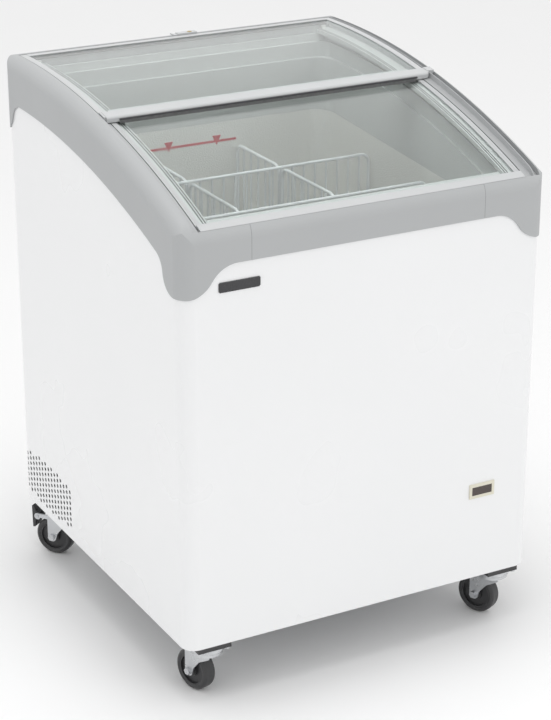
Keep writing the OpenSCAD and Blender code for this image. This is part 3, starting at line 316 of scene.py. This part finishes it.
front_half = tree.nodes.new("ShaderNodeMath")
front_half.operation = "LESS_THAN"
front_half.inputs[1].default_value = 0
tree.links.new(split.outputs["Y"], front_half.inputs[0])
seam_half = 0.0004
seams = None
for x, front in ((-0.219, True), (0.219, True), (-0.232, False), (0.187, False)):
    mask = band_mask(tree, split.outputs["X"], x, seam_half)
    side = tree.nodes.new("ShaderNodeMath")
    side.operation = "MULTIPLY" if front else "SUBTRACT"
    side.use_clamp = True
    tree.links.new(mask, side.inputs[0])
    tree.links.new(front_half.outputs["Value"], side.inputs[1])
    if seams is None:
        seams = side.outputs["Value"]
    else:
        both = tree.nodes.new("ShaderNodeMath")
        both.operation = "MAXIMUM"
        tree.links.new(seams, both.inputs[0])
        tree.links.new(side.outputs["Value"], both.inputs[1])
        seams = both.outputs["Value"]
shader = tree.nodes["Principled BSDF"]
under = shader.inputs["Base Color"].links[0].from_socket
seam_mix = tree.nodes.new("ShaderNodeMix")
seam_mix.data_type = "RGBA"
seam_mix.inputs["B"].default_value = (0.22, 0.22, 0.23, 1)
tree.links.new(under, seam_mix.inputs["A"])
tree.links.new(seams, seam_mix.inputs["Factor"])
tree.links.new(seam_mix.outputs["Result"], shader.inputs["Base Color"])
dress(frame_grey, "side_frame_left", "side_frame_right", "front_rail", "rear_rail")

# ---- Inner collar and lid tracks: satin extrusions between the frame and the tank.
# They are a shade lighter than the frame and smoother.
collar_grey = grained(material("collar_grey", (0.60, 0.61, 0.605), 0.38), 900, 0.00004, 5,
                      (0.56, 0.57, 0.565), (0.32, 0.45))
dress(collar_grey, "inner_collar", "lid_track_left", "lid_track_right")

seal_black = grained(material("seal_rubber", (0.022, 0.022, 0.023), 0.6), 800, 0.0001, 20,
                     (0.04, 0.04, 0.042), (0.5, 0.75))
dress(seal_black, "lid_seals", "compressor_feet", "cord_gland")

white_plastic = grained(material("white_plastic", (0.82, 0.82, 0.80), 0.35), 700, 0.00004, 12,
                        (0.77, 0.77, 0.74), (0.3, 0.45))
dress(white_plastic, "corner_clips", "fan_blade")

# ---- Tank: stucco-embossed aluminium sheet, folded and sealed at its corners.
# The embossing breaks the light into small sparkles, and the gloss wanders a little over the sheet.
tank_sheet = material("stucco_sheet", (0.9, 0.89, 0.86), 0.34, 0.4)
tree = tank_sheet.node_tree
shader = tree.nodes["Principled BSDF"]
where = tree.nodes.new("ShaderNodeTexCoord")
cells = tree.nodes.new("ShaderNodeTexVoronoi")
cells.feature = "SMOOTH_F1"
cells.inputs["Scale"].default_value = 420
cells.inputs["Smoothness"].default_value = 0.6
wander = tree.nodes.new("ShaderNodeTexNoise")
wander.inputs["Scale"].default_value = 700
wander.inputs["Detail"].default_value = 3
blend_height = tree.nodes.new("ShaderNodeMath")
blend_height.operation = "MULTIPLY_ADD"
blend_height.inputs[1].default_value = 0.6
emboss = tree.nodes.new("ShaderNodeBump")
emboss.inputs["Distance"].default_value = 0.0007
emboss.inputs["Strength"].default_value = 0.9
haze = tree.nodes.new("ShaderNodeTexNoise")
haze.inputs["Scale"].default_value = 9
gloss = tree.nodes.new("ShaderNodeMapRange")
gloss.inputs["To Min"].default_value = 0.26
gloss.inputs["To Max"].default_value = 0.42
tone = tree.nodes.new("ShaderNodeMix")
tone.data_type = "RGBA"
tone.inputs["A"].default_value = (0.96, 0.95, 0.925, 1)
tone.inputs["B"].default_value = (0.80, 0.79, 0.76, 1)
for noise in (cells, wander, haze):
    tree.links.new(where.outputs["Object"], noise.inputs["Vector"])
tree.links.new(wander.outputs["Fac"], blend_height.inputs[0])
tree.links.new(cells.outputs["Distance"], blend_height.inputs[2])
tree.links.new(blend_height.outputs["Value"], emboss.inputs["Height"])
tree.links.new(emboss.outputs["Normal"], shader.inputs["Normal"])
tree.links.new(haze.outputs["Fac"], gloss.inputs["Value"])
tree.links.new(gloss.outputs["Result"], shader.inputs["Roughness"])
tree.links.new(wander.outputs["Fac"], tone.inputs["Factor"])
tree.links.new(tone.outputs["Result"], shader.inputs["Base Color"])
dress(tank_sheet, "liner_tank")

# ---- Load line: a red printed film on the rear wall, a thin line with two small triangles.
# Its print is slightly mottled.
red_mark = grained(material("red_film", (0.62, 0.035, 0.05), 0.4), 900, 0.00003, 40,
                   (0.5, 0.03, 0.04), (0.35, 0.5))
dress(red_mark, "load_line")

# ---- Dividers: steel wire panels dipped in white plastic.
# Each upright is spot-welded to the rim, where the coating gathers in a small bead.
wire_white = grained(material("dipped_wire", (0.80, 0.81, 0.82), 0.34), 500, 0.00012, 25,
                     (0.72, 0.73, 0.75), (0.28, 0.44))
dress(wire_white, "long_divider_rear", "long_divider_front", "cross_dividers")


wire_pitch, panel_ends, bead_inset = 0.022, 0.04, 0.0027


def bead_spots(a, b, low, high, across, fixed):
    """Ends of the uprights of one wire panel that runs from a to b."""
    count = math.floor((b - a - panel_ends) / wire_pitch)
    gap = (b - a) / (count + 1)
    spots = []
    for i in range(1, count + 1):
        s = a + i * gap
        for z in (low + bead_inset, high - bead_inset):
            spots.append(((s, fixed, z) if across == "x" else (fixed, s, z), (0, 0, 1)))
    return spots


def round_bead(tree, start):
    ball = tree.nodes.new("GeometryNodeMeshIcoSphere")
    ball.inputs["Subdivisions"].default_value = 2
    tree.links.new(start.outputs["Radius"], ball.inputs["Radius"])
    return ball.outputs["Mesh"]


beads = []
for name in ("long_divider_rear", "long_divider_front"):
    low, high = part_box(name)
    beads += bead_spots(low.x, high.x, low.z, high.z, "x", (low.y + high.y) / 2)
low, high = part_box("cross_dividers")
long_low, long_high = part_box("long_divider_rear")
wire_middle, hook_gap = 0.0025, 0.0003
for x in (low.x + wire_middle, high.x - wire_middle):
    beads += bead_spots(low.y, long_low.y - hook_gap, low.z, high.z, "y", x)
    beads += bead_spots(long_high.y + hook_gap, high.y, low.z, high.z, "y", x)
weld_beads = grown("divider_weld_beads", beads, round_bead, wire_white, {"Radius": 0.0032})
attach(weld_beads, "divider_set")


# ---- Lid glass: two sheets of bent tempered glass, clear with a faint green cast.
# Light passes them freely, so the tank below is bright.
def clear_glass(name, cast):
    made = material(name, cast, 0.015, ior=1.45, transmission_weight=1.0)
    tree = made.node_tree
    shader = tree.nodes["Principled BSDF"]
    clear = tree.nodes.new("ShaderNodeBsdfTransparent")
    clear.inputs["Color"].default_value = (0.93, 0.96, 0.95, 1)
    ray = tree.nodes.new("ShaderNodeLightPath")
    choose = tree.nodes.new("ShaderNodeMixShader")
    smear = tree.nodes.new("ShaderNodeTexNoise")
    smear.inputs["Scale"].default_value = 14
    smear.inputs["Detail"].default_value = 5
    spot = tree.nodes.new("ShaderNodeTexCoord")
    film = tree.nodes.new("ShaderNodeMapRange")
    film.inputs["From Min"].default_value = 0.45
    film.inputs["From Max"].default_value = 0.75
    film.inputs["To Min"].default_value = 0.01
    film.inputs["To Max"].default_value = 0.05
    out = tree.nodes["Material Output"]
    tree.links.new(spot.outputs["Object"], smear.inputs["Vector"])
    tree.links.new(smear.outputs["Fac"], film.inputs["Value"])
    tree.links.new(film.outputs["Result"], shader.inputs["Roughness"])
    tree.links.new(ray.outputs["Is Shadow Ray"], choose.inputs["Fac"])
    tree.links.new(shader.outputs["BSDF"], choose.inputs[1])
    tree.links.new(clear.outputs["BSDF"], choose.inputs[2])
    tree.links.new(choose.outputs["Shader"], out.inputs["Surface"])
    return made


lid_glass = clear_glass("lid_glass", (0.95, 0.985, 0.975))
dress(lid_glass, "rear_glass", "front_glass")

# ---- Lid bars: extruded grey plastic with a satin skin.
# The rear lid's front bar is its pull; the front lid's nose bar rests in the frame.
lid_bar = grained(material("lid_bar_grey", (0.56, 0.57, 0.575), 0.36), 900, 0.00004, 8,
                  (0.52, 0.53, 0.535), (0.3, 0.42))
dress(lid_bar, "rear_lid_mid_bar", "rear_lid_back_bar", "rear_lid_runners", "rear_lid_end_caps",
      "front_lid_nose_bar", "front_lid_back_bar", "front_lid_runners")

# ---- Grip ribs on the front lid's side strips: short cross ribs moulded every 3 mm,
# following the bend of the strip from the back bar to the nose bar.
strip_low, strip_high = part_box("front_lid_runners")


def rib_block(tree, start):
    block = tree.nodes.new("GeometryNodeMeshCube")
    size = tree.nodes.new("ShaderNodeCombineXYZ")
    tree.links.new(start.outputs["Length"], size.inputs["X"])
    tree.links.new(start.outputs["Width"], size.inputs["Y"])
    tree.links.new(start.outputs["Height"], size.inputs["Z"])
    tree.links.new(size.outputs["Vector"], block.inputs["Size"])
    return block.outputs["Mesh"]


rib_pitch, rib_inset = 0.003, 0.0055
rib_radius = math.hypot(strip_high.y - lid_axis.y, strip_high.z - lid_axis.z)
first = math.asin((lid_axis.y - strip_high.y) / rib_radius)
last = math.asin((lid_axis.y - strip_low.y) / rib_radius)
rib_spots = []
for k in range(int((last - first) * rib_radius / rib_pitch) - 1):
    a = first + (k + 1) * rib_pitch / rib_radius
    up = Vector((0, -math.sin(a), math.cos(a)))
    for side in (-1, 1):
        spot = Vector((side * (strip_high.x - rib_inset), lid_axis.y, lid_axis.z)) + up * rib_radius
        rib_spots.append((spot, up))
grip_ribs = grown("front_lid_grip_ribs", rib_spots, rib_block, lid_bar,
                  {"Length": 0.0062, "Width": 0.0012, "Height": 0.0008})
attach(grip_ribs, "front_lid")

# ---- Brush seal: a dense row of nylon bristles in a holder strip along the rear lid's
# front bar. It hangs down to just above the front lid's glass and closes the gap there.
brush_low, brush_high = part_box("brush_seal")
brush_mid = (brush_low + brush_high) / 2
brush_turn = math.atan2(lid_axis.y - brush_mid.y, brush_mid.z - lid_axis.z)
brush_up = Vector((0, -math.sin(brush_turn), math.cos(brush_turn)))
brush_along = Vector((0, -math.cos(brush_turn), -math.sin(brush_turn)))
brush_r = (brush_mid - lid_axis).yz.length
brush_mid = Vector((0, lid_axis.y, lid_axis.z)) + brush_up * brush_r
brush_wide = brush_high.x - brush_low.x
holder_rise, bristle_drop = 0.0031, 0.0012
bristle_count, brush_end, row_step = 420, 0.0012, 0.0008
bristle_black = grained(material("bristle_nylon", (0.05, 0.05, 0.052), 0.55), 600, 0.0001, 60,
                        (0.09, 0.09, 0.095), (0.45, 0.7))
bristle_grey = grained(material("bristle_tips", (0.13, 0.13, 0.132), 0.5), 900, 0.0001, 220,
                       (0.32, 0.32, 0.325), (0.4, 0.6))
holder = bmesh.new()
bmesh.ops.create_cube(holder, size=1)
brush_place = Matrix((Vector((1, 0, 0)), brush_along, brush_up)).transposed().to_4x4()
brush_place.translation = brush_mid + brush_up * holder_rise
bmesh.ops.transform(holder, matrix=brush_place @ Matrix.Diagonal((brush_wide, 0.0026, 0.0028, 1)),
                    verts=holder.verts)
bmesh.ops.bevel(holder, geom=holder.edges[:], offset=0.0004, segments=2, affect="EDGES")
bmesh.ops.recalc_face_normals(holder, faces=holder.faces[:])
holder_mesh = bpy.data.meshes.new("brush_holder")
holder.to_mesh(holder_mesh)
brush_holder = add_mesh("brush_holder", holder_mesh, bristle_black)
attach(brush_holder, "rear_lid")
bristle_spots = []
for k in range(bristle_count):
    for row in (-row_step, 0, row_step):
        across = k + 0.5 * (row == 0)
        x = -brush_wide / 2 + brush_end + (brush_wide - 2 * brush_end) * across / bristle_count
        bristle_spots.append((Vector((x, 0, 0)) + brush_mid - brush_up * bristle_drop
                              + brush_along * row, brush_up))
bristles = grown("brush_bristles", bristle_spots, rib_block, bristle_grey,
                 {"Length": 0.0007, "Width": 0.0005, "Height": 0.0062})
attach(bristles, "rear_lid")
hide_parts("brush_seal")

# ---- Display on the front: a cream bezel with a smoked window behind it.
# The badge is a plain dark plate with softly rounded edges.
cream_plastic = grained(material("cream_plastic", (0.74, 0.71, 0.60), 0.32), 800, 0.00004, 20,
                        (0.70, 0.67, 0.55), (0.28, 0.4))
dress(cream_plastic, "display_bezel")
smoked = grained(material("smoked_window", (0.035, 0.022, 0.016), 0.12, coat_weight=0.6,
                          coat_roughness=0.05), 300, 0.00002, 30, (0.05, 0.03, 0.022), (0.1, 0.18))
dress(smoked, "display_window")

badge_low, badge_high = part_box("badge_plate")
badge_face = grained(material("badge_enamel", (0.012, 0.012, 0.014), 0.25, coat_weight=0.5,
                              coat_roughness=0.08), 500, 0.00004, 40, (0.022, 0.022, 0.026),
                     (0.2, 0.32))
badge_corner, badge_rim, face_rise = 0.0016, 0.0008, 0.0003
badge = bmesh.new()
bmesh.ops.create_cube(badge, size=1)
badge_size = badge_high - badge_low
bmesh.ops.transform(badge, matrix=Matrix.Translation((badge_low + badge_high) / 2)
                    @ Matrix.Diagonal((*badge_size, 1)), verts=badge.verts)
upright = [e for e in badge.edges
           if abs(e.verts[0].co.y - e.verts[1].co.y) > badge_size.y * 0.9]
bmesh.ops.bevel(badge, geom=upright, offset=badge_corner, segments=5, affect="EDGES")
front = [f for f in badge.faces if f.normal.y < -0.9]
bmesh.ops.inset_region(badge, faces=front, thickness=badge_rim, depth=0)
for v in {v for f in front for v in f.verts}:
    v.co.y -= face_rise
bmesh.ops.recalc_face_normals(badge, faces=badge.faces[:])
badge_mesh = bpy.data.meshes.new("badge")
badge.to_mesh(badge_mesh)
badge_piece = add_mesh("badge", badge_mesh, badge_face)
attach(badge_piece, "cabinet")
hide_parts("badge_plate")

# ---- Machines: a black enamelled compressor and condenser, a small plastic fan and copper
# tubes, seen through the vent holes and the rear slots.
black_enamel = grained(material("black_enamel", (0.02, 0.02, 0.022), 0.3), 300, 0.0001, 15,
                       (0.035, 0.035, 0.037), (0.22, 0.45))
dress(black_enamel, "compressor", "condenser")
copper = grained(material("copper_tube", (0.72, 0.36, 0.22), 0.35, 1.0), 400, 0.00005, 35,
                 (0.5, 0.25, 0.16), (0.25, 0.5))
dress(copper, "refrigerant_lines", "evaporator_coil")
black_plastic = grained(material("black_plastic", (0.028, 0.028, 0.03), 0.42), 900, 0.00008, 15,
                        (0.042, 0.042, 0.045), (0.36, 0.52))
dress(black_plastic, "inlet_box", "thermostat_knob", "brake_pedal_left", "brake_pedal_right",
      "drain_plug", "fan_motor")

# ---- Condenser fins: thin aluminium plates pressed over the tubes, close together.
# Only their edges show behind the vent holes.
cond_low, cond_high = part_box("condenser")
fin_metal = grained(material("fin_metal", (0.30, 0.30, 0.31), 0.45, 0.7), 300, 0.00005, 30,
                    (0.22, 0.22, 0.23), (0.4, 0.6))
fin_count, fin_ends = 52, 0.004
fin_x = (cond_low.x + cond_high.x) / 2
fin_z = (cond_low.z + cond_high.z) / 2
fin_reach = cond_high.y - cond_low.y - 2 * fin_ends
fin_spots = [((fin_x, cond_low.y + fin_ends + k * fin_reach / (fin_count - 1), fin_z), (0, 0, 1))
             for k in range(fin_count)]
fins = grown("condenser_fins", fin_spots, rib_block, fin_metal,
             {"Length": cond_high.x - cond_low.x - 0.002, "Width": 0.0005,
              "Height": cond_high.z - cond_low.z - 0.012})
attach(fins, "cabinet")

# ---- Lock: a small grey housing fixed on the rear rail, with a brass key barrel.
# The grille screws beside it in this section are the same bright zinc as the rivets.
dress(bright_zinc, "grille_screws")
dress(lid_bar, "lock_housing")
lock_brass = grained(material("lock_brass", (0.62, 0.48, 0.22), 0.28, 1.0), 600, 0.00003, 40,
                     (0.5, 0.38, 0.17), (0.2, 0.4))
dress(lock_brass, "lock_barrel")

# ---- Casters: a black stamped plate, a zinc-plated ball race and fork, and a black
# moulded wheel with a rounded tread. The wheels are painted a slightly lighter grey towards the
# floor.
dress(grained(material("plate_black", (0.03, 0.03, 0.032), 0.4), 500, 0.0001, 20,
              (0.05, 0.05, 0.052), (0.3, 0.5)), "caster_plates")
dress(bright_zinc, "caster_fork_front_left", "caster_fork_front_right",
      "caster_fork_rear_left", "caster_fork_rear_right")

wheel_black = grained(material("wheel_black", (0.024, 0.024, 0.026), 0.42), 420, 0.00012, 22,
                      (0.045, 0.045, 0.047), (0.36, 0.55))
tree = wheel_black.node_tree
shader = tree.nodes["Principled BSDF"]
where = tree.nodes.new("ShaderNodeTexCoord")
height = tree.nodes.new("ShaderNodeSeparateXYZ")
# Mixes each wheel's black toward a lighter warm grey within 12 mm of the floor, up to 35 per cent.
near_floor = tree.nodes.new("ShaderNodeMapRange")
near_floor.inputs["From Min"].default_value = 0.012
near_floor.inputs["From Max"].default_value = 0.0
near_floor.inputs["To Max"].default_value = 0.35
floor_side_grey = tree.nodes.new("ShaderNodeMix")
floor_side_grey.data_type = "RGBA"
floor_side_grey.inputs["B"].default_value = (0.16, 0.155, 0.15, 1)
plain_black = shader.inputs["Base Color"].links[0].from_socket
tree.links.new(where.outputs["Object"], height.inputs["Vector"])
tree.links.new(height.outputs["Z"], near_floor.inputs["Value"])
tree.links.new(plain_black, floor_side_grey.inputs["A"])
tree.links.new(near_floor.outputs["Result"], floor_side_grey.inputs["Factor"])
tree.links.new(floor_side_grey.outputs["Result"], shader.inputs["Base Color"])
dress(wheel_black, "wheel_front_left", "wheel_front_right", "wheel_rear_left",
      "wheel_rear_right")


# ---- Caster trim: a rolled rim round each ball race, fixed to the plate, and thin
# washers between the fork legs and the wheel hub.
def turned(name, ring, place, made, segments=64):
    """A ring turned from a closed outline of radius and height, put in place by a matrix."""
    bm = bmesh.new()
    loops = []
    for i in range(segments):
        a = 2 * math.pi * i / segments
        loops.append([bm.verts.new((r * math.cos(a), r * math.sin(a), z)) for r, z in ring])
    for i in range(segments):
        a, b = loops[i], loops[(i + 1) % segments]
        for k in range(len(ring)):
            n = (k + 1) % len(ring)
            bm.faces.new((a[k], b[k], b[n], a[n]))
    bmesh.ops.recalc_face_normals(bm, faces=bm.faces[:])
    bm.transform(place)
    for face in bm.faces:
        face.smooth = True
    mesh = bpy.data.meshes.new(name)
    bm.to_mesh(mesh)
    return add_mesh(name, mesh, made)


race_ring = [(0.02705, 0.0868), (0.0283, 0.0865), (0.0292, 0.0871), (0.0295, 0.0884),
             (0.0291, 0.0898), (0.0281, 0.0911), (0.0279, 0.0945), (0.0283, 0.0957),
             (0.02705, 0.0958)]
washer_ring = [(0.0042, 0.0126), (0.0084, 0.0126), (0.0088, 0.0129), (0.0088, 0.0134),
               (0.0084, 0.0138), (0.0042, 0.0138)]
bolt_reach, bolt_level = 0.0252, 0.0944
bolt_spots = []
for corner in ("front_left", "front_right", "rear_left", "rear_right"):
    swivel = Vector(joint["swivel_" + corner]["pos_m"])
    axle = Vector(joint["roll_" + corner]["pos_m"])
    along = Vector(joint["roll_" + corner]["axis"]).normalized()
    race = turned("ball_race_" + corner, race_ring,
                  Matrix.Translation((swivel.x, swivel.y, 0)), bright_zinc)
    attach(race, "cabinet")
    for side, title in ((1, "inner"), (-1, "outer")):
        turn = (along * side).to_track_quat("Z", "Y").to_matrix().to_4x4()
        washer = turned(title + "_washer_" + corner, washer_ring,
                        Matrix.Translation(axle) @ turn, bright_zinc, 40)
        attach(washer, "fork_" + corner)
    for dx in (-bolt_reach, bolt_reach):
        for dy in (-bolt_reach, bolt_reach):
            bolt_spots.append(((swivel.x + dx, swivel.y + dy, bolt_level), (0, 0, 1)))


# ---- Plate bolts: four zinc hexagon bolts hold each caster plate to the base.
def hex_head(tree, start):
    head = tree.nodes.new("GeometryNodeMeshCylinder")
    head.inputs["Vertices"].default_value = 6
    tree.links.new(start.outputs["Radius"], head.inputs["Radius"])
    tree.links.new(start.outputs["Height"], head.inputs["Depth"])
    return head.outputs["Mesh"]


plate_bolts = grown("caster_plate_bolts", bolt_spots, hex_head, bright_zinc,
                    {"Radius": 0.0052, "Height": 0.0034})
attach(plate_bolts, "cabinet")
